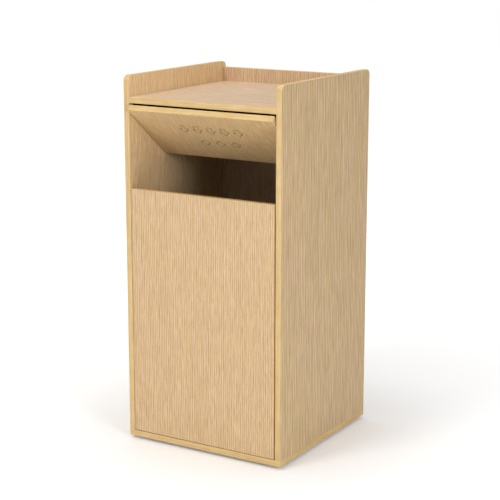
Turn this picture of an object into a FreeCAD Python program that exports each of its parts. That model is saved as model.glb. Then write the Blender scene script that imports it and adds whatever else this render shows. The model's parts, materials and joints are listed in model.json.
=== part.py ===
import FreeCAD, Part
import os

# Tray-top drop cabinet: a laminated board cabinet with a push-in flap above a full door.
# Millimetres. X to the right, Y to the back, Z up. The origin is on the floor, at the
# middle of the footprint, and the door faces -Y.

Vec = FreeCAD.Vector
RIGHT, LEFT = Vec(1, 0, 0), Vec(-1, 0, 0)
BACK, FRONT = Vec(0, 1, 0), Vec(0, -1, 0)
UP, DOWN = Vec(0, 0, 1), Vec(0, 0, -1)

# Cabinet
cabinet_width = 558.8
cabinet_depth = 558.8
cabinet_height = 1168.4
board = 19.05
band = 1.0                    # edge banding
glide_height = 10.0
side_corner_radius = 18.0     # round top corners of the side panels
back_drop = 19.0              # back panel's top, below the side panels' tops
tray_depth = 65.0             # shelf's top face, below the side panels' tops

# Door
door_height = 788.0
door_gap_below = 2.0
door_gap_left = 1.5
door_gap_right = 4.5

# Flap
flap_gap_above = 4.0
flap_gap_below = 2.5
flap_gap_left = 3.0
flap_gap_right = 4.5
flap_pivot_drop = 22.0        # pivot line below the flap's top edge
flap_rest_angle = 52.0        # how far in the flap stands in this model
flap_pin_radius = 3.0
flap_pin_seat = 12.0          # length of the pin held in the side panel
flap_bush_radius = 5.0
flap_bush_length = 14.0
flap_bush_flange = 1.0
flap_bush_flange_radius = 7.0
running_clearance = 0.05

# Stop rail behind the flap's top edge
rail_depth = 25.0
rail_rise = 8.0               # underside of the rail above the pivot line
rail_set_back = 3.0           # rail's front face behind the closed flap
rail_end_gap = 1.0
stop_strip_thickness = 2.0    # rubber strip on the rail's front face
stop_strip_margin = 1.0

# Routed marks on the flap: a row of arrows over a row of diamonds
groove_width = 2.2
groove_depth = 1.0
arrow_count = 5
arrow_pitch = 48.0
arrow_width = 38.0
arrow_height = 40.0
arrow_head_height = 22.0
arrow_shaft_width = 17.0
arrow_drop = 69.0             # top of the row below the flap's top edge
diamond_count = 3
diamond_pitch = 54.0
diamond_width = 36.0
diamond_height = 34.0
diamond_drop = 146.0

# Pivot hinges, let into the back of the door at its left edge
hinge_pivot_in = 22.0         # pivot line from the side panel
hinge_pivot_back = 6.5        # pivot line behind the door's front face
hinge_from_door_end = 130.0
hinge_pin_radius = 2.0
leaf_half_width = 4.2
leaf_half_thickness = 4.0
leaf_reach = 42.0             # back end of the leaf behind the pivot line
leaf_plate_length = 56.0
leaf_plate_height = 30.0
leaf_plate_thickness = 3.0
housing_wall = 2.5
housing_clearance = 0.4       # between housing and leaf
housing_web_start = 6.0
housing_web_end = 12.0
housing_fit = 0.2             # between housing and its mortise
flange_length = 40.0
flange_height = 34.0
flange_thickness = 1.5

# Magnetic catch near the door's top right corner
catch_below_door_top = 60.0
catch_width = 20.0
catch_depth = 22.0
catch_body_height = 28.0
catch_foot_height = 46.0
catch_foot_thickness = 3.0
catch_gap = 0.3
magnet_from_side = 12.0
magnet_half_width = 3.0
magnet_height = 24.0
magnet_depth = 9.0
pole_thickness = 1.2
pole_reach = 0.8              # how far the pole plates stand out of the housing
strike_width = 14.0
strike_height = 38.0
strike_thickness = 1.5

# Door stop on the base
stop_block_length = 60.0
stop_block_depth = 22.0
stop_block_height = 20.0
stop_block_from_side = 20.0
stop_bumper_radius = 5.0
stop_bumper_thickness = 1.7
stop_bumper_gap = 0.3

# Joinery
confirmat_length = 50.0
confirmat_radius = 2.5
confirmat_head_radius = 5.0
confirmat_edge_inset = 60.0
back_screw_offset = 150.0
dowel_radius = 4.0
dowel_in_side = 12.0
dowel_in_board = 18.0
shelf_dowel_inset = 50.0
shelf_cam_inset = 95.0
back_dowel_count = 4
back_dowel_inset = 160.0
cam_radius = 7.5
cam_height = 12.5
cam_from_side = 34.0
cam_bolt_thread_radius = 2.5
cam_bolt_thread_length = 10.5
cam_bolt_shaft_radius = 3.0
cam_bolt_head_radius = 3.5
cam_bolt_head_length = 3.0
cam_pocket_clearance = 0.6
cam_bore_clearance = 1.0

# Small screws
wood_screw_radius = 1.75
wood_screw_head_radius = 3.6
wood_screw_length = 15.0
rail_screw_length = 32.0
block_screw_length = 32.0
glide_screw_length = 16.0

# Glides
glide_top_radius = 16.0
glide_floor_radius = 14.0
glide_inset = 40.0
glide_recess_radius = 5.0
glide_recess_depth = 5.0

# Collection bin
bin_height = 650.0
bin_top_half = 215.0
bin_taper = 18.0
bin_wall = 3.0
bin_floor = 4.0
bin_corner_radius = 42.0
bin_rim_width = 10.0
bin_rim_drop = 16.0
bin_resting_gap = 0.3
bin_front_clearance = 36.0    # from the door's back to the bin's rim

# Places worked out from the sizes above
side_x = cabinet_width / 2
inner_x = side_x - board
front_y = -cabinet_depth / 2
back_y = cabinet_depth / 2
back_panel_front = back_y - board
base_bottom = glide_height
base_top = base_bottom + board
shelf_top = cabinet_height - tray_depth
shelf_bottom = shelf_top - board
shelf_middle = shelf_top - board / 2
back_top = cabinet_height - back_drop
door_left = -inner_x + door_gap_left
door_right = inner_x - door_gap_right
door_bottom = base_top + door_gap_below
door_top = door_bottom + door_height
door_back = front_y + board
flap_left = -inner_x + flap_gap_left
flap_right = inner_x - flap_gap_right
flap_bottom = door_top + flap_gap_below
flap_top = shelf_bottom - flap_gap_above
flap_pivot = Vec(0, front_y + board / 2, flap_top - flap_pivot_drop)
rail_front = front_y + board + rail_set_back
rail_bottom = flap_pivot.z + rail_rise
hinge_x = -inner_x + hinge_pivot_in
hinge_y = front_y + hinge_pivot_back
hinge_heights = (door_bottom + hinge_from_door_end, door_top - hinge_from_door_end)
housing_half_height = leaf_half_thickness + housing_clearance + housing_wall
leaf_plate_front = hinge_y + leaf_reach - 2 * leaf_half_width
catch_z = door_top - catch_below_door_top
magnet_x = inner_x - magnet_from_side
strike_back = door_back + strike_thickness
catch_front = strike_back + catch_gap + pole_reach
block_front = door_back + stop_bumper_gap + stop_bumper_thickness
block_right = inner_x - stop_block_from_side
block_middle = block_right - stop_block_length / 2
bin_bottom = base_top + bin_resting_gap
bin_top = bin_bottom + bin_height
bin_y = door_back + bin_front_clearance + bin_top_half + bin_rim_width


# Shape helpers

def box(x0, x1, y0, y1, z0, z1):
    return Part.makeBox(x1 - x0, y1 - y0, z1 - z0, Vec(x0, y0, z0))


def rod(radius, length, start, direction):
    return Part.makeCylinder(radius, length, start, direction)


def cut(shape, tools):
    return shape.cut(Part.makeCompound(list(tools)))


def join(shapes):
    result = shapes[0]
    if len(shapes) > 1:
        result = result.fuse(shapes[1:])
    return result.removeSplitter()


def aimed(shape, point, direction):
    # Turns a shape built along +Z to a direction and puts its origin at a point.
    shape.Placement = FreeCAD.Placement(point, FreeCAD.Rotation(UP, direction))
    return shape


def spread(first, last, count):
    step = (last - first) / (count - 1)
    return [first + step * index for index in range(count)]


def banded(x0, x1, y0, y1, z0, z1, edges):
    # A board and the banding on its named edges, as two shapes that meet face to face.
    inset = {edge: band if edge in edges else 0 for edge in "lrfkbt"}
    core = box(x0 + inset["l"], x1 - inset["r"], y0 + inset["f"], y1 - inset["k"],
               z0 + inset["b"], z1 - inset["t"])
    return core, box(x0, x1, y0, y1, z0, z1).cut(core)


# Fasteners

def screw_blank(point, direction, radius, head_radius, length):
    # Countersunk screw without its drive: flat of the head at the point, tip along the direction.
    head_height = head_radius - radius
    tip_height = 2 * radius
    head = Part.makeCone(head_radius, radius, head_height)
    shank = rod(radius, length - head_height - tip_height, Vec(0, 0, head_height), UP)
    tip = Part.makeCone(radius, radius / 4, tip_height, Vec(0, 0, length - tip_height))
    return aimed(join([head, shank, tip]), point, direction)


def screw(point, direction, radius, head_radius, length):
    reach, half_slot, depth = head_radius * 0.6, head_radius * 0.11, head_radius * 0.4
    across = box(-reach, reach, -half_slot, half_slot, 0, depth)
    along = box(-half_slot, half_slot, -reach, reach, 0, depth)
    drive = aimed(across.fuse(along), point, direction)
    return screw_blank(point, direction, radius, head_radius, length).cut(drive)


def wood_screw_sizes(length=wood_screw_length):
    return wood_screw_radius, wood_screw_head_radius, length


def screws(places, sizes):
    return Part.makeCompound([screw(point, direction, *sizes) for point, direction in places])


def blanks(places, sizes):
    return [screw_blank(point, direction, *sizes) for point, direction in places]


CONFIRMAT = (confirmat_radius, confirmat_head_radius, confirmat_length)


def side_screw_places(side):
    x = side * (side_x - board / 2)
    rows = spread(front_y + confirmat_edge_inset, back_y - confirmat_edge_inset, 3)
    return [(Vec(x, y, base_bottom), UP) for y in rows]


def back_screw_places():
    y = back_y - board / 2
    return [(Vec(x, y, base_bottom), UP) for x in (-back_screw_offset, back_screw_offset)]


def shelf_dowels(side):
    rows = (front_y + shelf_dowel_inset, back_panel_front - shelf_dowel_inset)
    start = side * (inner_x + dowel_in_side)
    inward = Vec(-side, 0, 0)
    length = dowel_in_side + dowel_in_board
    return [rod(dowel_radius, length, Vec(start, y, shelf_middle), inward) for y in rows]


def back_dowels(side):
    heights = spread(base_top + back_dowel_inset, back_top - back_dowel_inset, back_dowel_count)
    start = side * (inner_x + dowel_in_side)
    inward = Vec(-side, 0, 0)
    length = dowel_in_side + dowel_in_board
    return [rod(dowel_radius, length, Vec(start, back_y - board / 2, z), inward) for z in heights]


def cam_rows():
    return front_y + shelf_cam_inset, back_panel_front - shelf_cam_inset


def cam_bolt(side, y):
    inward = Vec(-side, 0, 0)
    face = Vec(side * inner_x, y, shelf_middle)
    shaft_length = cam_from_side - cam_bolt_head_length / 2
    thread_start = face - inward * cam_bolt_thread_length
    thread = rod(cam_bolt_thread_radius, cam_bolt_thread_length, thread_start, inward)
    shaft = rod(cam_bolt_shaft_radius, shaft_length, face, inward)
    head_start = face + inward * shaft_length
    head = rod(cam_bolt_head_radius, cam_bolt_head_length, head_start, inward)
    return join([thread, shaft, head])


def cam_centre(side, y):
    return Vec(side * (inner_x - cam_from_side), y, shelf_bottom)


def cam_lock(side, y):
    # Round cam with a pocket for the bolt's head and a cross drive in its lower face.
    centre = cam_centre(side, y)
    body = rod(cam_radius, cam_height, centre, UP)
    pocket_radius = cam_bolt_head_radius + cam_pocket_clearance
    pocket_start = Vec(side * inner_x, y, shelf_middle)
    pocket_length = cam_from_side + cam_bolt_head_length
    pocket = rod(pocket_radius, pocket_length, pocket_start, Vec(-side, 0, 0))
    half, thin, deep = cam_radius * 0.5, cam_radius * 0.1, cam_height * 0.15
    across = box(-half, half, -thin, thin, 0, deep)
    along = box(-thin, thin, -half, half, 0, deep)
    return cut(body, [pocket, aimed(across.fuse(along), centre, UP)])


def cam_cavities(side, y):
    bore_radius = cam_bolt_shaft_radius + cam_bore_clearance
    bore_start = Vec(side * inner_x, y, shelf_middle)
    bore = rod(bore_radius, cam_from_side + cam_bolt_head_length, bore_start, Vec(-side, 0, 0))
    return [rod(cam_radius, cam_height, cam_centre(side, y), UP), bore]


# Side panels, base, back and shelf

def side_outline(inset):
    # Side panel seen from the side: square foot, two round top corners.
    y0, y1 = front_y + inset, back_y - inset
    top = cabinet_height - inset
    radius = side_corner_radius - inset
    bend = radius * (1 - 0.5 ** 0.5)
    edges = [
        Part.LineSegment(Vec(0, y0, base_top), Vec(0, y0, top - radius)),
        Part.Arc(Vec(0, y0, top - radius), Vec(0, y0 + bend, top - bend), Vec(0, y0 + radius, top)),
        Part.LineSegment(Vec(0, y0 + radius, top), Vec(0, y1 - radius, top)),
        Part.Arc(Vec(0, y1 - radius, top), Vec(0, y1 - bend, top - bend), Vec(0, y1, top - radius)),
        Part.LineSegment(Vec(0, y1, top - radius), Vec(0, y1, base_top)),
        Part.LineSegment(Vec(0, y1, base_top), Vec(0, y0, base_top)),
    ]
    return Part.Face(Part.Wire([edge.toShape() for edge in edges]))


def side_panel(side):
    start = Vec(-side_x if side < 0 else inner_x, 0, 0)
    core = side_outline(band).extrude(Vec(board, 0, 0))
    whole = side_outline(0).extrude(Vec(board, 0, 0))
    core.translate(start)
    whole.translate(start)
    edging = whole.cut(core)
    drilled = blanks(side_screw_places(side), CONFIRMAT)
    drilled += shelf_dowels(side) + back_dowels(side)
    drilled += [cam_bolt(side, y) for y in cam_rows()]
    drilled.append(flap_pin(side))
    if side < 0:
        drilled += blanks(leaf_screw_places(), wood_screw_sizes())
    else:
        drilled += blanks(catch_screw_places(), wood_screw_sizes())
    return cut(core, drilled), edging


def base_panel():
    core, edging = banded(-side_x, side_x, front_y, back_y, base_bottom, base_top, "lrfk")
    drilled = blanks(side_screw_places(-1) + side_screw_places(1), CONFIRMAT)
    drilled += blanks(back_screw_places(), CONFIRMAT)
    drilled += blanks(glide_screw_places(), wood_screw_sizes(glide_screw_length))
    drilled += blanks(block_screw_places(), wood_screw_sizes(block_screw_length))
    return cut(core, drilled), edging


def back_panel():
    core, edging = banded(-inner_x, inner_x, back_panel_front, back_y, base_top, back_top, "t")
    drilled = back_dowels(-1) + back_dowels(1) + blanks(back_screw_places(), CONFIRMAT)
    return cut(core, drilled), edging


def top_shelf():
    core, edging = banded(-inner_x, inner_x, front_y, back_panel_front, shelf_bottom, shelf_top, "f")
    drilled = shelf_dowels(-1) + shelf_dowels(1)
    for side in (-1, 1):
        for y in cam_rows():
            drilled += cam_cavities(side, y)
    drilled += blanks(rail_screw_places(), wood_screw_sizes(rail_screw_length))
    return cut(core, drilled), edging


# Stop rail

def rail_screw_places():
    reach = inner_x * 0.7
    y = rail_front + rail_depth / 2
    return [(Vec(x, y, rail_bottom), UP) for x in spread(-reach, reach, 3)]


def stop_rail():
    half = inner_x - rail_end_gap
    rail = box(-half, half, rail_front, rail_front + rail_depth, rail_bottom, shelf_bottom)
    return cut(rail, blanks(rail_screw_places(), wood_screw_sizes(rail_screw_length)))


def stop_strip():
    half = inner_x - rail_end_gap - stop_strip_margin
    return box(-half, half, rail_front - stop_strip_thickness, rail_front,
               rail_bottom + stop_strip_margin, shelf_bottom - stop_strip_margin)


# Flap and its pivots, built closed and then swung in

def swung(shape):
    shape.rotate(flap_pivot, RIGHT, flap_rest_angle)
    return shape


def flap_edge(side):
    return flap_left if side < 0 else flap_right


def flap_pin(side):
    start = Vec(side * (inner_x + flap_pin_seat), flap_pivot.y, flap_pivot.z)
    gap = inner_x - abs(flap_edge(side))
    length = flap_pin_seat + gap + flap_bush_length - flap_bush_flange
    return rod(flap_pin_radius, length, start, Vec(-side, 0, 0))


def flap_bush_blank(side):
    inward = Vec(-side, 0, 0)
    edge = Vec(flap_edge(side), flap_pivot.y, flap_pivot.z)
    sleeve = rod(flap_bush_radius, flap_bush_length, edge, inward)
    flange_start = edge - inward * flap_bush_flange
    flange = rod(flap_bush_flange_radius, flap_bush_flange, flange_start, inward)
    return join([sleeve, flange])


def flap_bush(side):
    start = Vec(side * side_x, flap_pivot.y, flap_pivot.z)
    bore = rod(flap_pin_radius + running_clearance, side_x, start, Vec(-side, 0, 0))
    return swung(flap_bush_blank(side).cut(bore))


def groove(points):
    # Closed groove that follows an outline on the flap's front face.
    face = Part.Face(Part.makePolygon(points + points[:1]))
    ring = face.cut(face.makeOffset2D(-groove_width))
    return ring.extrude(BACK * groove_depth)


def arrow(x, top):
    half, shaft = arrow_width / 2, arrow_shaft_width / 2
    neck = arrow_head_height - arrow_height
    outline = [(-shaft, 0), (-shaft, neck), (-half, neck), (0, -arrow_height),
               (half, neck), (shaft, neck), (shaft, 0)]
    return groove([Vec(x + dx, front_y, top + dz) for dx, dz in outline])


def diamond(x, top):
    half, middle = diamond_width / 2, diamond_height / 2
    outline = [(-half, -middle), (0, 0), (half, -middle), (0, -diamond_height)]
    return groove([Vec(x + dx, front_y, top + dz) for dx, dz in outline])


def row(mark, count, pitch, top):
    reach = pitch * (count - 1) / 2
    return [mark(x, top) for x in spread(-reach, reach, count)]


def flap():
    core, edging = banded(flap_left, flap_right, front_y, door_back, flap_bottom, flap_top, "lrbt")
    bushes = [flap_bush_blank(-1), flap_bush_blank(1)]
    marks = row(arrow, arrow_count, arrow_pitch, flap_top - arrow_drop)
    marks += row(diamond, diamond_count, diamond_pitch, flap_top - diamond_drop)
    return swung(cut(core, bushes + marks)), swung(cut(edging, bushes))


# Door and its pivot hinges

def leaf_screw_places():
    x = -inner_x + leaf_plate_thickness
    places = []
    for z in hinge_heights:
        for share in (0.45, 0.82):
            places.append((Vec(x, leaf_plate_front + leaf_plate_length * share, z), LEFT))
    return places


def hinge_leaf(z):
    # Eye round the pin, an arm straight back, and a foot across to a plate on the side panel.
    low, high = z - leaf_half_thickness, z + leaf_half_thickness
    eye = rod(leaf_half_width, 2 * leaf_half_thickness, Vec(hinge_x, hinge_y, low), UP)
    arm_back = hinge_y + leaf_reach
    arm = box(hinge_x - leaf_half_width, hinge_x + leaf_half_width, hinge_y, arm_back, low, high)
    foot = box(-inner_x, hinge_x, leaf_plate_front, arm_back, low, high)
    half = leaf_plate_height / 2
    plate = box(-inner_x, -inner_x + leaf_plate_thickness, leaf_plate_front,
                leaf_plate_front + leaf_plate_length, z - half, z + half)
    bore = rod(hinge_pin_radius + running_clearance, 2 * leaf_half_thickness,
               Vec(hinge_x, hinge_y, low), UP)
    return join([eye, arm, foot, plate]).cut(bore)


def hinge_leaves():
    leaves = Part.makeCompound([hinge_leaf(z) for z in hinge_heights])
    return cut(leaves, blanks(leaf_screw_places(), wood_screw_sizes()))


def hinge_pin(z):
    start = Vec(hinge_x, hinge_y, z - housing_half_height)
    return rod(hinge_pin_radius, 2 * housing_half_height, start, UP)


def housing_screw_places():
    x = hinge_x + housing_web_start + flange_length * 0.72
    places = []
    for z in hinge_heights:
        for dz in (-flange_height / 4, flange_height / 4):
            places.append((Vec(x, door_back + flange_thickness, z + dz), FRONT))
    return places


def hinge_housing(z):
    # Two cheeks above and below the leaf, a web between them and a flange on the door's back.
    front = hinge_y - leaf_half_width - housing_fit
    right = hinge_x + housing_web_end
    half = housing_half_height
    block = box(door_left, right, front, door_back, z - half, z + half)
    space = half - housing_wall
    slot = box(door_left, hinge_x + housing_web_start, front, door_back, z - space, z + space)
    flange = box(hinge_x + housing_web_start, hinge_x + housing_web_start + flange_length,
                 door_back, door_back + flange_thickness,
                 z - flange_height / 2, z + flange_height / 2)
    return join([block.cut(slot), flange]).cut(hinge_pin(z))


def hinge_mortise(z):
    front = hinge_y - leaf_half_width - 2 * housing_fit
    half = housing_half_height + housing_fit
    return box(door_left, hinge_x + housing_web_end + housing_fit, front, door_back,
               z - half, z + half)


def hinge_housings():
    housings = Part.makeCompound([hinge_housing(z) for z in hinge_heights])
    return cut(housings, blanks(housing_screw_places(), wood_screw_sizes()))


def door():
    core, edging = banded(door_left, door_right, front_y, door_back, door_bottom, door_top, "lrbt")
    mortises = [hinge_mortise(z) for z in hinge_heights]
    drilled = blanks(housing_screw_places(), wood_screw_sizes())
    drilled += blanks(strike_screw_places(), wood_screw_sizes())
    return cut(core, mortises + drilled), cut(edging, mortises)


# Magnetic catch and strike

def strike_screw_places():
    return [(Vec(magnet_x, strike_back, catch_z), FRONT)]


def strike_plate():
    half_x, half_z = strike_width / 2, strike_height / 2
    plate = box(magnet_x - half_x, magnet_x + half_x, door_back, strike_back,
                catch_z - half_z, catch_z + half_z)
    return cut(plate, blanks(strike_screw_places(), wood_screw_sizes()))


def catch_screw_places():
    x = inner_x - catch_foot_thickness
    y = catch_front + catch_depth / 2
    offset = (catch_body_height + catch_foot_height) / 4
    return [(Vec(x, y, catch_z + dz), RIGHT) for dz in (-offset, offset)]


def magnet():
    half = magnet_height / 2
    return box(magnet_x - magnet_half_width, magnet_x + magnet_half_width,
               catch_front, catch_front + magnet_depth, catch_z - half, catch_z + half)


def pole_plates():
    half = magnet_height / 2
    plates = []
    for side in (-1, 1):
        inner = magnet_x + side * magnet_half_width
        outer = inner + side * pole_thickness
        plates.append(box(min(inner, outer), max(inner, outer), catch_front - pole_reach,
                          catch_front + magnet_depth, catch_z - half, catch_z + half))
    return Part.makeCompound(plates)


def catch_housing():
    back = catch_front + catch_depth
    body = box(inner_x - catch_width, inner_x, catch_front, back,
               catch_z - catch_body_height / 2, catch_z + catch_body_height / 2)
    foot = box(inner_x - catch_foot_thickness, inner_x, catch_front, back,
               catch_z - catch_foot_height / 2, catch_z + catch_foot_height / 2)
    tools = blanks(catch_screw_places(), wood_screw_sizes()) + [magnet(), pole_plates()]
    return cut(join([body, foot]), tools)


# Door stop

def block_screw_places():
    y = block_front + stop_block_depth / 2
    offset = stop_block_length / 4
    z = base_top + stop_block_height
    return [(Vec(block_middle + dx, y, z), DOWN) for dx in (-offset, offset)]


def stop_block():
    block = box(block_right - stop_block_length, block_right, block_front,
                block_front + stop_block_depth, base_top, base_top + stop_block_height)
    return cut(block, blanks(block_screw_places(), wood_screw_sizes(block_screw_length)))


def stop_bumper():
    centre = Vec(block_middle, block_front, base_top + stop_block_height / 2)
    return rod(stop_bumper_radius, stop_bumper_thickness, centre, FRONT)


# Glides

def glide_centres():
    x, y = side_x - glide_inset, back_y - glide_inset
    return [Vec(sx * x, sy * y, 0) for sx in (-1, 1) for sy in (-1, 1)]


def glide_screw_places():
    return [(centre + UP * glide_recess_depth, UP) for centre in glide_centres()]


def glides():
    feet = []
    for centre in glide_centres():
        foot = Part.makeCone(glide_floor_radius, glide_top_radius, glide_height, centre)
        feet.append(foot.cut(rod(glide_recess_radius, glide_recess_depth, centre, UP)))
    tools = blanks(glide_screw_places(), wood_screw_sizes(glide_screw_length))
    return cut(Part.makeCompound(feet), tools)


# Collection bin

def rounded_square(half, radius, z):
    # Closed outline with round corners, centred on the bin.
    corners = []
    for sx, sy in ((1, 1), (-1, 1), (-1, -1), (1, -1)):
        centre = Vec(sx * (half - radius), bin_y + sy * (half - radius), z)
        corners.append((centre, Vec(sx, 0, 0), Vec(0, sy, 0)))
    edges = []
    for index, (centre, side, end) in enumerate(corners):
        first, last = (side, end) if index % 2 == 0 else (end, side)
        middle = (side + end) * 0.5 ** 0.5
        arc = Part.Arc(centre + first * radius, centre + middle * radius, centre + last * radius)
        edges.append(arc.toShape())
        following, next_side, next_end = corners[(index + 1) % 4]
        start = next_end if index % 2 == 0 else next_side
        line = Part.LineSegment(centre + last * radius, following + start * radius)
        edges.append(line.toShape())
    return Part.Wire(edges)


def tub(half_top, radius, z0, z1, inset):
    # Solid taper between two round-cornered squares.
    slope = bin_taper / bin_height
    half_low = half_top - slope * (bin_top - z0) - inset
    half_high = half_top - slope * (bin_top - z1) - inset
    low = rounded_square(half_low, radius - inset, z0)
    high = rounded_square(half_high, radius - inset, z1)
    return Part.makeLoft([low, high], True, True)


def rim_block(half, radius, z0, z1):
    return Part.Face(rounded_square(half, radius, z0)).extrude(UP * (z1 - z0))


def collection_bin():
    outer = tub(bin_top_half, bin_corner_radius, bin_bottom, bin_top, 0)
    half, radius = bin_top_half + bin_rim_width, bin_corner_radius + bin_rim_width
    rim = rim_block(half, radius, bin_top - bin_rim_drop, bin_top)
    under = rim_block(half - bin_wall, radius - bin_wall, bin_top - bin_rim_drop, bin_top - bin_wall)
    hollow = tub(bin_top_half, bin_corner_radius, bin_bottom + bin_floor, bin_top, bin_wall)
    return outer.fuse(rim.cut(under)).cut(hollow)


# Output

def write(name, shape):
    shape.exportStep("parts/" + name + ".step")


os.makedirs("parts", exist_ok=True)

for name, side in (("left", -1), ("right", 1)):
    panel, edging = side_panel(side)
    write(name + "_side_panel", panel)
    write(name + "_side_edge_band", edging)
    write("flap_pin_" + name, flap_pin(side))
    write("flap_bush_" + name, flap_bush(side))

for name, build in (("base_panel", base_panel), ("back_panel", back_panel), ("top_shelf", top_shelf),
                    ("door_panel", door), ("flap_panel", flap)):
    panel, edging = build()
    write(name, panel)
    write(name.split("_panel")[0] + "_edge_band", edging)

write("confirmat_screws", screws(side_screw_places(-1) + side_screw_places(1) + back_screw_places(),
                                 CONFIRMAT))
write("wood_dowels", Part.makeCompound(shelf_dowels(-1) + shelf_dowels(1)
                                       + back_dowels(-1) + back_dowels(1)))
write("cam_bolts", Part.makeCompound([cam_bolt(side, y) for side in (-1, 1) for y in cam_rows()]))
write("cam_locks", Part.makeCompound([cam_lock(side, y) for side in (-1, 1) for y in cam_rows()]))

write("flap_stop_rail", stop_rail())
write("flap_stop_strip", stop_strip())
write("flap_rail_screws", screws(rail_screw_places(), wood_screw_sizes(rail_screw_length)))

write("hinge_leaves", hinge_leaves())
write("hinge_leaf_screws", screws(leaf_screw_places(), wood_screw_sizes()))
write("hinge_housings", hinge_housings())
write("hinge_housing_screws", screws(housing_screw_places(), wood_screw_sizes()))
write("hinge_pins", Part.makeCompound([hinge_pin(z) for z in hinge_heights]))

write("catch_housing", catch_housing())
write("catch_magnet", magnet())
write("catch_pole_plates", pole_plates())
write("catch_screws", screws(catch_screw_places(), wood_screw_sizes()))
write("strike_plate", strike_plate())
write("strike_screw", screws(strike_screw_places(), wood_screw_sizes()))

write("door_stop_block", stop_block())
write("door_stop_bumper", stop_bumper())
write("door_stop_screws", screws(block_screw_places(), wood_screw_sizes(block_screw_length)))

write("glides", glides())
write("glide_screws", screws(glide_screw_places(), wood_screw_sizes(glide_screw_length)))
write("collection_bin", collection_bin())
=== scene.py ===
import json
import math

import bmesh
import bpy
from mathutils import Matrix, Vector

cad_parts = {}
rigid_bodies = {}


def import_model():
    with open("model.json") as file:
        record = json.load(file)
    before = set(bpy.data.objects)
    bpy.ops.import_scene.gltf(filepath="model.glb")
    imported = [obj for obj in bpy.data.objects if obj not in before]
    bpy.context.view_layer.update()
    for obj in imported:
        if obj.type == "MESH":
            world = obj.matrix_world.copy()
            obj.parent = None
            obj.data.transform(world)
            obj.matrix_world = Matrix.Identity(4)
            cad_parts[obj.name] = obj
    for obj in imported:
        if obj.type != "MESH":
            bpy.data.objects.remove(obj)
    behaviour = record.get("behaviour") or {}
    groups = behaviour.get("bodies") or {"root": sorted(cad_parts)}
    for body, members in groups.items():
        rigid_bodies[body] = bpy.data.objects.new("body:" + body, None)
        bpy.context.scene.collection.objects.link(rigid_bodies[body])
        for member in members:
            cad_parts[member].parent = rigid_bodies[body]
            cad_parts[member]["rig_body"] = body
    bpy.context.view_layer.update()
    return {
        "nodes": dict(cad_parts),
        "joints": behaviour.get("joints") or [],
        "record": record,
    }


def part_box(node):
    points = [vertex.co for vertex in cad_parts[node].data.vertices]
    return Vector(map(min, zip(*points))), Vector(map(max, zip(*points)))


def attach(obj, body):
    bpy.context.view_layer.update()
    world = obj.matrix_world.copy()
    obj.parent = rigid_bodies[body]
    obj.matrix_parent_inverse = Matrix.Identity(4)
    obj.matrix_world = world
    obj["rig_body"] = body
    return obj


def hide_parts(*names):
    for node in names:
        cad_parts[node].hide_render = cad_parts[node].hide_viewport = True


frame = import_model()

# Tray-top drop cabinet: laminated boards with rounded banding, a push-in flap with routed
# marks, a door on pivot hinges and a moulded bin. Metres. X right, Y back, Z up.

QUARTER = math.pi / 2
BAND_ARRIS = 0.0006           # rounding on the outer edges of the banding
FINE_ARRIS = 0.0003           # on metal, and on the small nylon and rubber pieces
MOULDED_ARRIS = 0.0008
TIMBER_ARRIS = 0.0009
SHARP = math.radians(38)      # an edge that turns more than this is sharp
FLAT = math.radians(0.5)      # faces that turn less than this are one face
WELD = 0.000002               # corners nearer than this are one corner
LEVEL = 0.0001                # heights nearer than this are the same
ALONG = 0.9                   # least part of a normal that counts as looking along a direction
ASIDE = 0.1                   # most part of a normal that counts as looking aside from it
GROOVE_DEPTH = 0.001          # of the marks routed into the flap

FINE_PITCH = 0.0068           # average spacing of the grain's fine lines
HUE_PITCH = 0.0092            # average spacing of its tan and pink
FINE_SHARE = 0.22             # of the grain's figure; fibre makes the rest
CLOUD_SHARE = 0.3             # of the banding's figure; printed lines make the rest
TAN = ((0.440, 0.300, 0.130), (0.745, 0.558, 0.270))          # each pair is dark, then light
PINK = ((0.480, 0.303, 0.190), (0.800, 0.550, 0.385))
BANDING = ((0.585, 0.392, 0.150), (0.730, 0.515, 0.240))
BEECH = ((0.50, 0.30, 0.15), (0.70, 0.48, 0.28))
FLOOR_WHITE = ((0.94, 0.94, 0.94), (0.96, 0.96, 0.96))
LAMINATE_CLOUD = (0.500, 0.345, 0.185)
LAMINATE_PORE = (0.300, 0.180, 0.090)
BROWNED_BOARD = (0.17, 0.085, 0.035)
BEECH_FLECK = (0.33, 0.17, 0.08)
WHITE = (1.0, 1.0, 1.0, 1.0)

BIN_WALL = 0.003
BIN_TAPER = 0.018             # how much narrower the foot is on each side
BIN_CORNER = 0.039
BIN_FOOT_ROUND = 0.008
BIN_RIM = 0.010               # how far the rim stands out from the wall
BIN_RIM_DROP = 0.016
BIN_RIM_ROUND = 0.0025
RIB_PLACES = (0.25, 0.5, 0.75)          # shares of the bin's height
RIB_FACE = 0.006              # half the height of a rib's flat face
RIB_FOOT = 0.010              # half its height with the slopes
RIB_DEPTH = 0.0025

LIT_MIDDLE = (0.0, 0.0, 0.65)
AMBIENT = 0.45
KEY_POWER = 50
SIDE_POWER = 50
TOP_POWER = 49
FILL_POWER = 24
FLOOR_GLOW = (0.12, 0.6)      # glow that the camera sees, near the cabinet and far from it
FLOOR_GLOW_SPAN = (0.5, 2.5)  # and how far from its middle those are
FLOOR_REACH = 14.0
CAMERA_PLACE = (2.2838, -3.7694, 1.6124)
CAMERA_LENS = 101.59
CAMERA_SENSOR = 36.0
CAMERA_DOWN = 12.945          # degrees below level
CAMERA_TURN = 31.173          # degrees round from straight ahead

NODES = frame["nodes"]
SLOT_OF = {part["node"]: part["material_slot"] for part in frame["record"]["subparts"]}
JOINTS = {joint["name"]: joint for joint in frame["joints"]}
FLAP_TILT = math.radians(-JOINTS["flap_swing"]["range_deg"][0])
FLAP_PIVOT = Vector(JOINTS["flap_swing"]["pos_m"])


# Node graphs

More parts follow.
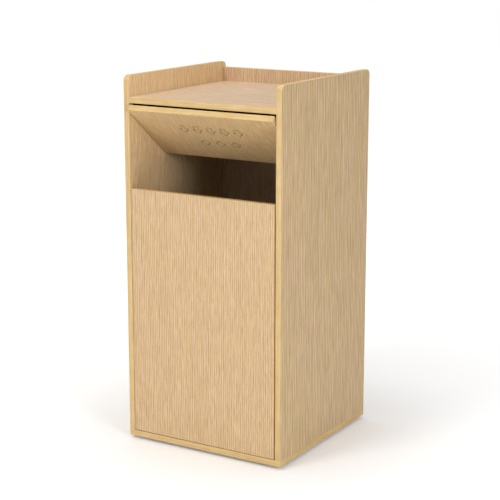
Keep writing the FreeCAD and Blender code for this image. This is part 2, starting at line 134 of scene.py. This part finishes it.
class Finish:
    """A material whose pattern is fixed to the piece it is on."""

    def __init__(self, name, roughness=0.5, metallic=0.0, specular=0.5):
        self.material = bpy.data.materials.new(name)
        self.material.use_nodes = True
        self.tree = self.material.node_tree
        self.shader = self.tree.nodes["Principled BSDF"]
        self.shader.inputs["Roughness"].default_value = roughness
        self.shader.inputs["Metallic"].default_value = metallic
        self.shader.inputs["Specular IOR Level"].default_value = specular

    def node(self, kind, **settings):
        node = self.tree.nodes.new(kind)
        for key, value in settings.items():
            setattr(node, key, value)
        return node

    def join(self, source, socket):
        self.tree.links.new(source, socket)

    def place(self, turn=(0, 0, 0), shift=(0, 0, 0)):
        coordinates = self.node("ShaderNodeTexCoord")
        mapping = self.node("ShaderNodeMapping")
        mapping.inputs["Rotation"].default_value = turn
        mapping.inputs["Location"].default_value = shift
        self.join(coordinates.outputs["Object"], mapping.inputs["Vector"])
        return mapping.outputs["Vector"]

    def stretched(self, place, scale):
        stretch = self.node("ShaderNodeVectorMath", operation="MULTIPLY")
        stretch.inputs[1].default_value = scale
        self.join(place, stretch.inputs[0])
        return stretch.outputs["Vector"]

    def noise(self, place, scale, detail=2.0, roughness=0.5):
        noise = self.node("ShaderNodeTexNoise")
        noise.inputs["Scale"].default_value = 1.0
        noise.inputs["Detail"].default_value = detail
        noise.inputs["Roughness"].default_value = roughness
        self.join(self.stretched(place, scale), noise.inputs["Vector"])
        return noise.outputs["Fac"]

    def math(self, operation, first, second=0.0):
        node = self.node("ShaderNodeMath", operation=operation)
        for socket, value in zip(node.inputs, (first, second)):
            if isinstance(value, (int, float)):
                socket.default_value = value
            else:
                self.join(value, socket)
        return node.outputs["Value"]

    def ramp(self, factor, colours, start=0.35):
        """From the dark colour at start to the light one as far below one."""
        ramp = self.node("ShaderNodeValToRGB")
        for element, position, colour in zip(ramp.color_ramp.elements, (start, 1 - start), colours):
            element.position = position
            element.color = (*colour, 1.0)
        self.join(factor, ramp.inputs["Fac"])
        return ramp.outputs["Color"]

    def span(self, factor, low, high, start=0.3, end=0.7):
        """From low to high while the factor goes from start to end."""
        span = self.node("ShaderNodeMapRange")
        span.inputs["From Min"].default_value = start
        span.inputs["From Max"].default_value = end
        span.inputs["To Min"].default_value = low
        span.inputs["To Max"].default_value = high
        self.join(factor, span.inputs["Value"])
        return span.outputs["Result"]

    def mix(self, factor, base, over):
        """The base, and as much of the colour over it as the factor says."""
        mix = self.node("ShaderNodeMix", data_type="RGBA")
        factor_socket, base_socket, over_socket = (mix.inputs[index] for index in (0, 6, 7))
        self.join(factor, factor_socket)
        self.join(base, base_socket)
        if isinstance(over, tuple):
            over_socket.default_value = (*over, 1.0)
        else:
            self.join(over, over_socket)
        return mix.outputs[2]

    def colour(self, source):
        self.join(source, self.shader.inputs["Base Color"])

    def rough(self, source):
        self.join(source, self.shader.inputs["Roughness"])

    def bump(self, height, strength, distance):
        bump = self.node("ShaderNodeBump")
        bump.inputs["Strength"].default_value = strength
        bump.inputs["Distance"].default_value = distance
        self.join(height, bump.inputs["Height"])
        self.join(bump.outputs["Normal"], self.shader.inputs["Normal"])


# Finishes

def grain_lines(finish, place, across, pitch, wander, bend):
    """Lines along the grain, a pitch apart on average, that wander and never quite repeat."""
    drift = finish.noise(place, bend, detail=3, roughness=0.6)
    phase = finish.math("ADD", finish.math("MULTIPLY", across, 2 * math.pi / pitch),
                        finish.math("MULTIPLY", drift, wander))
    wave = finish.math("SINE", phase)
    return finish.math("ADD", finish.math("MULTIPLY", wave, 0.5), 0.5)


def laminate(name, turn=(0, 0, 0), shift=(0, 0, 0), tint=(1.0, 1.0, 1.0), spread=1.0):
    """Matt oak laminate: fine grain along the turned Z, tan and pink by turns.

    A larger spread sets the grain wider apart and makes it longer.
    """
    finish = Finish(name, specular=0.25)
    place = finish.place(turn, shift)
    split = finish.node("ShaderNodeSeparateXYZ")
    finish.join(place, split.inputs["Vector"])
    across = finish.math("ADD", split.outputs["X"], split.outputs["Y"])
    fine = grain_lines(finish, place, across, FINE_PITCH * spread, wander=9, bend=(60, 60, 4 / spread))
    hue = grain_lines(finish, place, across, HUE_PITCH * spread, wander=12, bend=(45, 45, 3 / spread))
    tone = finish.noise(place, (14, 14, 1.1), detail=2)
    fibre = finish.noise(place, (620 / spread, 620 / spread, 22 / spread), detail=3, roughness=0.7)
    pores = finish.noise(place, (1500, 1500, 70), detail=2)

    # The tint scales every colour; on the left, back and flap boards it is painted light, and on the shelf
    # a painted reflection.
    def tinted(colour):
        return tuple(value * share for value, share in zip(colour, tint))

    grain = finish.math("ADD", finish.math("MULTIPLY", fine, FINE_SHARE),
                        finish.math("MULTIPLY", fibre, 1 - FINE_SHARE))
    tan = finish.ramp(grain, [tinted(colour) for colour in TAN], start=0.36)
    pink = finish.ramp(grain, [tinted(colour) for colour in PINK], start=0.36)
    wood = finish.mix(hue, tan, pink)
    wood = finish.mix(finish.span(tone, 0.0, 0.10, 0.35, 0.65), wood, tinted(LAMINATE_CLOUD))
    finish.colour(finish.mix(finish.span(pores, 0.0, 0.4, 0.60, 0.74), wood, LAMINATE_PORE))
    finish.rough(finish.span(fibre, 0.42, 0.52))
    finish.bump(finish.math("ADD", fibre, pores), 0.12, 0.0002)
    return finish


def routed_laminate(name):
    """The flap's laminate, with bare browned board inside its routed marks.

    The brown starts just under the face and ends a little past the groove's floor.
    """
    # The lighter, yellower tint is painted light: the warm tone of light thrown back onto the flap by the
    # wood round it.
    finish = laminate(name, turn=(-FLAP_TILT, 0, 0), shift=(0.37, 0, 0.2), tint=(1.08, 1.05, 0.92))
    wood = finish.shader.inputs["Base Color"].links[0].from_socket
    turned = finish.place((-FLAP_TILT, 0, 0))
    split = finish.node("ShaderNodeSeparateXYZ")
    finish.join(turned, split.inputs["Vector"])
    pivot = Matrix.Rotation(-FLAP_TILT, 3, "X") @ FLAP_PIVOT
    half_board = (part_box("top_shelf")[1].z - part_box("top_shelf")[0].z) / 2
    depth = finish.math("SUBTRACT", split.outputs["Y"], pivot.y - half_board)
    under_face = finish.span(depth, 0.0, 1.0, GROOVE_DEPTH * 0.15, GROOVE_DEPTH * 0.5)
    near_floor = finish.span(depth, 1.0, 0.0, GROOVE_DEPTH * 1.2, GROOVE_DEPTH * 1.6)
    finish.colour(finish.mix(finish.math("MULTIPLY", under_face, near_floor), wood, BROWNED_BOARD))
    return finish


def banding(name, lines_along, turning_axis):
    """Satin edge banding, yellower than the boards, with faint lines printed along its length.

    On the faces that look along the turning axis the length runs along Y instead.
    """
    finish = Finish(name, specular=0.4)
    place = finish.place()
    cloud = finish.noise(place, (26, 26, 26), detail=2)
    lines = finish.noise(place, lines_along, detail=2)
    turned_lines = finish.noise(place, (420, 9, 420), detail=2)
    facing = finish.node("ShaderNodeTexCoord")
    split = finish.node("ShaderNodeSeparateXYZ")
    finish.join(facing.outputs["Normal"], split.inputs["Vector"])
    turned = finish.math("GREATER_THAN", finish.math("ABSOLUTE", split.outputs[turning_axis]), 0.6)
    straight = finish.math("SUBTRACT", 1.0, turned)
    figure = finish.math("ADD", finish.math("MULTIPLY", lines, straight),
                         finish.math("MULTIPLY", turned_lines, turned))
    figure = finish.math("ADD", finish.math("MULTIPLY", cloud, CLOUD_SHARE),
                         finish.math("MULTIPLY", figure, 1 - CLOUD_SHARE))
    finish.colour(finish.ramp(figure, BANDING, start=0.36))
    finish.rough(finish.span(figure, 0.34, 0.44))
    finish.bump(figure, 0.08, 0.0001)
    return finish


def timber(name):
    """Sanded beech for dowels, the stop rail and the stop block."""
    finish = Finish(name, specular=0.3)
    place = finish.place((0, QUARTER, 0))
    figure = finish.noise(place, (240, 240, 9), detail=4, roughness=0.6)
    flecks = finish.noise(place, (1500, 1500, 160), detail=1)
    wood = finish.ramp(figure, BEECH)
    finish.colour(finish.mix(finish.span(flecks, 0.0, 0.4, 0.6, 0.75), wood, BEECH_FLECK))
    finish.rough(finish.span(figure, 0.62, 0.74))
    finish.bump(figure, 0.2, 0.0003)
    return finish


def metal(name, dark, light, shiniest, dullest, grain, bump):
    """Bare or plated metal with worked marks and uneven shine."""
    finish = Finish(name, metallic=1.0)
    place = finish.place()
    marks = finish.noise(place, grain, detail=3)
    cloud = finish.noise(place, (60, 60, 60), detail=3)
    finish.colour(finish.ramp(cloud, (dark, light)))
    finish.rough(finish.span(marks, shiniest, dullest))
    finish.bump(marks, bump, 0.0001)
    return finish


def moulded(name, dark, light, shiniest, dullest, grain=2600, specular=0.5):
    """Moulded plastic or rubber with a fine spark texture."""
    finish = Finish(name, specular=specular)
    place = finish.place()
    spark = finish.noise(place, (grain, grain, grain), detail=2)
    cloud = finish.noise(place, (14, 14, 14), detail=3)
    finish.colour(finish.ramp(cloud, (dark, light)))
    finish.rough(finish.span(cloud, shiniest, dullest))
    finish.bump(spark, 0.25, 0.0001)
    return finish


FINISHES = {
    "laminate_side": laminate("side_laminate", tint=(0.96, 0.98, 0.96), spread=1.55),
    # The back's lighter, bluer tint is painted light on its shaded inner face above the shelf.
    "laminate_back": laminate("back_laminate_painted_light", shift=(0.21, 0, 0.4), tint=(1.06, 1.09, 1.20)),
    "laminate_door": laminate("door_laminate", shift=(0.63, 0, 0.1), tint=(1.03, 1.02, 1.0)),
    "laminate_base": laminate("base_laminate", turn=(0, QUARTER, 0)),
    # The shelf's bluer tint is a painted reflection: the pale sheen of the white room on its top.
    "laminate_shelf": laminate("shelf_laminate_painted_sheen", turn=(0, QUARTER, 0), shift=(0, 0.11, 0.3),
                               tint=(1.0, 1.03, 1.18), spread=1.4),
    # the flap's laminate is tinted lighter and yellower as painted light
    "laminate_flap": routed_laminate("flap_laminate_painted_light"),
    "edge_band": banding("level_banding", (9, 420, 420), "X"),
    "beech": timber("beech"),
    "zinc_plated_steel": metal("zinc_plate", (0.55, 0.57, 0.58), (0.72, 0.73, 0.72), 0.24, 0.40,
                               (900, 900, 900), 0.1),
    "zinc_casting": metal("nickel_casting", (0.44, 0.44, 0.43), (0.60, 0.59, 0.57), 0.30, 0.46,
                          (1400, 1400, 1400), 0.2),
    "bright_steel": metal("ground_steel", (0.62, 0.62, 0.62), (0.76, 0.76, 0.77), 0.16, 0.28,
                          (60, 1600, 1600), 0.1),
    "white_nylon": moulded("white_nylon", (0.70, 0.69, 0.65), (0.80, 0.79, 0.76), 0.38, 0.48),
    "brown_plastic": moulded("brown_plastic", (0.045, 0.026, 0.016), (0.070, 0.042, 0.026), 0.42, 0.52),
    "ferrite_magnet": moulded("ferrite", (0.018, 0.018, 0.018), (0.035, 0.034, 0.033), 0.55, 0.70, 1200),
    # this near-black rubber, on the stop strip, is also painted shade in the gap above the flap
    "black_rubber": moulded("black_rubber", (0.004, 0.004, 0.004), (0.008, 0.008, 0.008), 0.78, 0.88,
                            specular=0.1),
    "bin_plastic": moulded("bin_plastic", (0.030, 0.032, 0.034), (0.042, 0.045, 0.048), 0.46, 0.58),
}
# The left board's laminate is a lighter copy of the side laminate: painted light on its inner face, seen
# between the flap and the door.
PAINTED_LIGHT_LEFT_BOARD = laminate("left_side_laminate_painted_light", shift=(0.45, 0.3, 0.7), tint=(1.22, 1.25, 1.22))
UPRIGHT_BANDING = banding("upright_banding", (420, 420, 9), "Z")


# Pieces

def merged(node):
    """A CAD node's shape as whole flat faces, ready to have its edges eased."""
    bm = bmesh.new()
    bm.from_mesh(NODES[node].data)
    bmesh.ops.remove_doubles(bm, verts=bm.verts, dist=WELD)
    bmesh.ops.dissolve_limit(bm, angle_limit=FLAT, verts=bm.verts, edges=bm.edges)
    bm.normal_update()
    return bm


def place_piece(name, bm, *nodes):
    """Adds a piece in place of CAD nodes, on their body and with their finish."""
    mesh = bpy.data.meshes.new(name)
    bm.to_mesh(mesh)
    bm.free()
    mesh.polygons.foreach_set("use_smooth", [True] * len(mesh.polygons))
    mesh.set_sharp_from_angle(angle=SHARP)
    piece = bpy.data.objects.new(name, mesh)
    bpy.context.scene.collection.objects.link(piece)
    slot = SLOT_OF[nodes[0]]
    mesh.materials.append(FINISHES[slot].material)
    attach(piece, NODES[nodes[0]]["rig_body"])
    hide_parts(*nodes)
    return piece


def ease(bm, edges, width, segments):
    """Rounds edges over."""
    bmesh.ops.bevel(bm, geom=edges, offset=width, offset_type="OFFSET", segments=segments,
                    profile=0.5, affect="EDGES", clamp_overlap=True, material=-1)


def rounded_banding(band, board, across):
    """Banding with its outer arrises rounded; across is the board's thickness direction."""
    bm = merged(band)
    low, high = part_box(board)
    centre = (low + high) / 2

    def outermost(face):
        reach = max(face.normal.dot(vert.co) for vert in bm.verts)
        return face.normal.dot(face.calc_center_median()) > reach - BAND_ARRIS / 2

    def on_board_face(face):
        return abs(face.normal.dot(across)) > ALONG and outermost(face)

    def faces_out(face):
        outward = face.normal.dot(face.calc_center_median() - centre)
        return abs(face.normal.dot(across)) < ASIDE and outward > 0 and outermost(face)

    arrises = []
    for edge in bm.edges:
        if len(edge.link_faces) == 2:
            first, second = edge.link_faces
            if (on_board_face(first) and faces_out(second)) or (on_board_face(second) and faces_out(first)):
                arrises.append(edge)
    ease(bm, arrises, BAND_ARRIS, 3)
    piece = place_piece(band + "_rounded", bm, band)
    # the side panels' longest edges stand upright, and so do the lines printed on them
    if "side" in band:
        piece.data.materials[0] = UPRIGHT_BANDING.material


def eased(node, width, segments=2):
    """A hard piece with every sharp edge softened."""
    bm = merged(node)
    edges = [edge for edge in bm.edges if edge.is_manifold and edge.calc_face_angle(0.0) > SHARP]
    ease(bm, edges, width, segments)
    place_piece(node + "_eased", bm, node)


def widen(bm, verts, share, axis):
    """Scales corners level about the bin's upright axis."""
    bmesh.ops.scale(bm, vec=(share, share, 1), verts=verts, space=axis)


def lies_above(item, height):
    """Whether an edge or a face lies wholly above a height."""
    return min(vert.co.z for vert in item.verts) > height


def tub_walls(bm, low, high, half, axis):
    """Closed tapered box with round upright corners and a round foot."""
    centre = (low + high) / 2
    height = high.z - low.z
    bmesh.ops.create_cube(bm, size=1.0)
    bmesh.ops.scale(bm, vec=(2 * half, 2 * half, height), verts=bm.verts)
    bmesh.ops.translate(bm, vec=centre, verts=bm.verts)
    foot = [vert for vert in bm.verts if vert.co.z < centre.z]
    widen(bm, foot, 1 - BIN_TAPER / half, axis)
    uprights = [edge for edge in bm.edges if abs(edge.verts[0].co.z - edge.verts[1].co.z) > height / 2]
    ease(bm, uprights, BIN_CORNER, 10)
    floor_edges = [edge for edge in bm.edges if max(vert.co.z for vert in edge.verts) < low.z + LEVEL]
    ease(bm, floor_edges, BIN_FOOT_ROUND, 4)


def press_ribs(bm, low, high, half, axis):
    """Shallow ribs pressed inwards round the walls."""
    for share in RIB_PLACES:
        middle = low.z + (high.z - low.z) * share
        for offset in (-RIB_FOOT, -RIB_FACE, RIB_FACE, RIB_FOOT):
            cut = bm.verts[:] + bm.edges[:] + bm.faces[:]
            bmesh.ops.bisect_plane(bm, geom=cut, plane_co=(0, 0, middle + offset), plane_no=(0, 0, 1))
        face = [vert for vert in bm.verts if abs(vert.co.z - middle) < (RIB_FACE + RIB_FOOT) / 2]
        widen(bm, face, 1 - RIB_DEPTH / half, axis)


def extruded_mouth(bm):
    """Extrudes the open edge where it is, and gives the corners of the copy."""
    mouth = [edge for edge in bm.edges if edge.is_boundary]
    copied = bmesh.ops.extrude_edge_only(bm, edges=mouth)["geom"]
    return [item for item in copied if isinstance(item, bmesh.types.BMVert)]


def turned_down_rim(bm, top, half, axis):
    """Takes the lid off and turns its edge out and down."""
    lid = [face for face in bm.faces if lies_above(face, top - LEVEL)]
    bmesh.ops.delete(bm, geom=lid, context="FACES_ONLY")
    ledge = extruded_mouth(bm)
    widen(bm, ledge, 1 + (BIN_RIM + BIN_WALL) / half, axis)
    skirt = extruded_mouth(bm)
    bmesh.ops.translate(bm, vec=(0, 0, -BIN_RIM_DROP), verts=skirt)
    rim = [edge for edge in bm.edges if lies_above(edge, top - LEVEL) and not edge.is_boundary]
    ease(bm, rim, BIN_RIM_ROUND, 3)


def moulded_bin():
    """Tapered tub with round corners, a turned-down rim and ribs round its walls.

    It is drawn as the tub's inner face and then thickened outwards.
    """
    low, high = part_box("collection_bin")
    low = low + Vector((0, 0, BIN_WALL))
    centre = (low + high) / 2
    half = (high.x - low.x) / 2 - BIN_RIM - BIN_WALL
    axis = Matrix.Translation(-Vector((centre.x, centre.y, 0)))
    bm = bmesh.new()
    tub_walls(bm, low, high, half, axis)
    press_ribs(bm, low, high, half, axis)
    turned_down_rim(bm, high.z, half, axis)
    bmesh.ops.recalc_face_normals(bm, faces=bm.faces)
    bmesh.ops.solidify(bm, geom=bm.faces[:], thickness=BIN_WALL)
    bmesh.ops.recalc_face_normals(bm, faces=bm.faces)
    place_piece("moulded_bin", bm, "collection_bin")


for node, cad_object in NODES.items():
    cad_object.data.materials.clear()
    cad_object.data.materials.append(FINISHES[SLOT_OF[node]].material)
# painted light: the left panel gets the lighter copy of the side laminate
NODES["left_side_panel"].data.materials[0] = PAINTED_LIGHT_LEFT_BOARD.material

flap_across = Matrix.Rotation(FLAP_TILT, 3, "X") @ Vector((0, 1, 0))
for band, board, across in (
    ("left_side_edge_band", "left_side_panel", Vector((1, 0, 0))),
    ("right_side_edge_band", "right_side_panel", Vector((1, 0, 0))),
    ("base_edge_band", "base_panel", Vector((0, 0, 1))),
    ("back_edge_band", "back_panel", Vector((0, 1, 0))),
    ("top_shelf_edge_band", "top_shelf", Vector((0, 0, 1))),
    ("door_edge_band", "door_panel", Vector((0, 1, 0))),
    ("flap_edge_band", "flap_panel", flap_across),
):
    rounded_banding(band, board, across)

for node in ("hinge_leaves", "hinge_housings", "strike_plate", "catch_pole_plates"):
    eased(node, FINE_ARRIS)
for node in ("catch_housing", "glides"):
    eased(node, MOULDED_ARRIS)
# The stop strip is black rubber along the rail's whole front: a stop, and also a dark strip standing in for
# the shade in the gap above the flap.
for node in ("flap_bush_left", "flap_bush_right", "flap_stop_strip", "door_stop_bumper"):
    eased(node, FINE_ARRIS)
for node in ("flap_stop_rail", "door_stop_block"):
    eased(node, TIMBER_ARRIS, 3)
moulded_bin()


# Floor, light and camera

def pale_floor():
    """A wide white floor that fades into the backdrop away from the cabinet."""
    bm = bmesh.new()
    bmesh.ops.create_grid(bm, x_segments=1, y_segments=1, size=FLOOR_REACH)
    mesh = bpy.data.meshes.new("floor")
    bm.to_mesh(mesh)
    bm.free()
    floor = bpy.data.objects.new("floor", mesh)
    bpy.context.scene.collection.objects.link(floor)
    finish = Finish("pale_floor", roughness=0.6, specular=0.2)
    cloud = finish.noise(finish.place(), (1.5, 1.5, 1.5), detail=2)
    finish.colour(finish.ramp(cloud, FLOOR_WHITE, start=0.3))
    away = finish.node("ShaderNodeVectorMath", operation="LENGTH")
    finish.join(finish.place(), away.inputs[0])
    glow = finish.span(away.outputs["Value"], *FLOOR_GLOW, *FLOOR_GLOW_SPAN)
    seen = finish.node("ShaderNodeLightPath")
    finish.shader.inputs["Emission Color"].default_value = WHITE
    finish.join(finish.math("MULTIPLY", glow, seen.outputs["Is Camera Ray"]),
                finish.shader.inputs["Emission Strength"])
    mesh.materials.append(finish.material)


def soft_light(name, place, size, power):
    """A round lamp that looks at the middle of the cabinet."""
    lamp = bpy.data.lights.new(name, "AREA")
    lamp.shape = "DISK"
    lamp.size = size
    lamp.energy = power
    light = bpy.data.objects.new(name, lamp)
    bpy.context.scene.collection.objects.link(light)
    light.location = place
    light.rotation_euler = (Vector(LIT_MIDDLE) - Vector(place)).to_track_quat("-Z", "Y").to_euler()


def studio():
    """White backdrop, even light all round and four soft lamps."""
    world = bpy.data.worlds.new("studio")
    world.use_nodes = True
    tree = world.node_tree
    ambient = tree.nodes["Background"]
    ambient.inputs["Color"].default_value = WHITE
    ambient.inputs["Strength"].default_value = AMBIENT
    backdrop = tree.nodes.new("ShaderNodeBackground")
    backdrop.inputs["Color"].default_value = WHITE
    seen = tree.nodes.new("ShaderNodeLightPath")
    either = tree.nodes.new("ShaderNodeMixShader")
    tree.links.new(seen.outputs["Is Camera Ray"], either.inputs["Fac"])
    tree.links.new(ambient.outputs["Background"], either.inputs[1])
    tree.links.new(backdrop.outputs["Background"], either.inputs[2])
    tree.links.new(either.outputs["Shader"], tree.nodes["World Output"].inputs["Surface"])
    bpy.context.scene.world = world
    bpy.context.scene.view_settings.view_transform = "Standard"
    soft_light("key", (-0.9, -3.0, 3.9), 1.4, KEY_POWER)
    soft_light("side", (3.4, -1.9, 1.6), 1.4, SIDE_POWER)
    soft_light("top", (-0.2, 0.1, 4.0), 2.0, TOP_POWER)
    soft_light("fill", (-1.5, -3.8, 0.5), 1.2, FILL_POWER)


def camera():
    view = bpy.data.cameras.new("view")
    view.sensor_width = CAMERA_SENSOR
    view.lens = CAMERA_LENS
    eye = bpy.data.objects.new("view", view)
    bpy.context.scene.collection.objects.link(eye)
    eye.location = CAMERA_PLACE
    eye.rotation_euler = (math.radians(90 - CAMERA_DOWN), 0.0, math.radians(CAMERA_TURN))
    bpy.context.scene.camera = eye


pale_floor()
studio()
camera()
